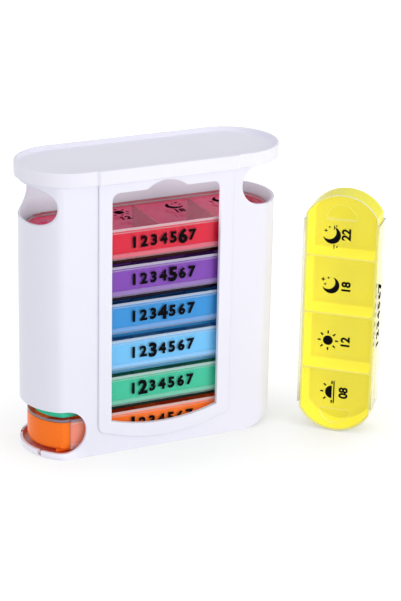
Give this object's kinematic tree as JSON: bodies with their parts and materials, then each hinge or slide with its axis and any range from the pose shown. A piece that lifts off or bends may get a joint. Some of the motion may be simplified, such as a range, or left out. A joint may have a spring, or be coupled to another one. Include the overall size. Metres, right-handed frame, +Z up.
{
  "type": "weekly pill organizer",
  "caption": "Weekly pill organizer: a white sleeve tower with a front window, a shallow top tray and a stack of coloured day boxes with clear sliding covers, and a loose day box beside it.",
  "frame": {"origin": "middle of the tower's flat underside, on the surface that it stands on", "axes": "+Z up, -Y the window side, +X to the right seen from the front, towards the inlet and the loose box"},
  "size_m": [0.2183, 0.0978, 0.18],
  "materials": {
    "tower_white": "satin moulded, cool white",
    "tray_white": "satin moulded, cool white",
    "cover_clear": "clear, polished",
    "box_orange": "satin moulded, slightly translucent orange",
    "box_green": "satin moulded, slightly translucent green",
    "box_light_blue": "satin moulded, slightly translucent light blue",
    "box_blue": "satin moulded, slightly translucent blue",
    "box_purple": "satin moulded, slightly translucent purple",
    "box_red": "satin moulded, slightly translucent red",
    "box_yellow": "satin moulded, slightly translucent yellow"
  },
  "bodies": {
    "tower": {"tower_shell": "tower_white", "top_tray": "tray_white"},
    "box_1": {"box_1_body": "box_orange"},
    "cover_1": {"box_1_cover": "cover_clear"},
    "box_2": {"box_2_body": "box_green", "box_2_cover": "cover_clear"},
    "box_3": {"box_3_body": "box_light_blue", "box_3_cover": "cover_clear"},
    "box_4": {"box_4_body": "box_blue", "box_4_cover": "cover_clear"},
    "box_5": {"box_5_body": "box_purple", "box_5_cover": "cover_clear"},
    "box_6": {"box_6_body": "box_red", "box_6_cover": "cover_clear"},
    "box_7": {"box_7_body": "box_yellow"},
    "cover_7": {"box_7_cover": "cover_clear"}
  },
  "joints": [
    {"name": "box_1_slide_out", "type": "slide", "parent": "tower", "child": "box_1", "axis": [-1, 0, 0], "range_m": [0, 0.16]},
    {"name": "cover_1_slide", "type": "slide", "parent": "box_1", "child": "cover_1", "axis": [-1, 0, 0], "range_m": [0, 0.11]},
    {"name": "box_2_lift", "type": "slide", "parent": "tower", "child": "box_2", "axis": [0, 0, 1], "range_m": [0, 0.0233]},
    {"name": "box_3_lift", "type": "slide", "parent": "tower", "child": "box_3", "axis": [0, 0, 1], "range_m": [0, 0.0233]},
    {"name": "box_4_lift", "type": "slide", "parent": "tower", "child": "box_4", "axis": [0, 0, 1], "range_m": [0, 0.0233]},
    {"name": "box_5_lift", "type": "slide", "parent": "tower", "child": "box_5", "axis": [0, 0, 1], "range_m": [0, 0.0233]},
    {"name": "box_6_lift", "type": "slide", "parent": "tower", "child": "box_6", "axis": [0, 0, 1], "range_m": [0, 0.0233]},
    {"name": "box_7_lift", "type": "slide", "parent": "tower", "child": "box_7", "axis": [0, 0, 1], "range_m": [0, 0.2]},
    {"name": "cover_7_slide", "type": "slide", "parent": "box_7", "child": "cover_7", "axis": [0, 0, 1], "range_m": [0, 0.11]}
  ],
  "couplings": [
    {"joint": "box_3_lift", "follows": "box_2_lift", "ratio": 1},
    {"joint": "box_4_lift", "follows": "box_2_lift", "ratio": 1},
    {"joint": "box_5_lift", "follows": "box_2_lift", "ratio": 1},
    {"joint": "box_6_lift", "follows": "box_2_lift", "ratio": 1}
  ]
}
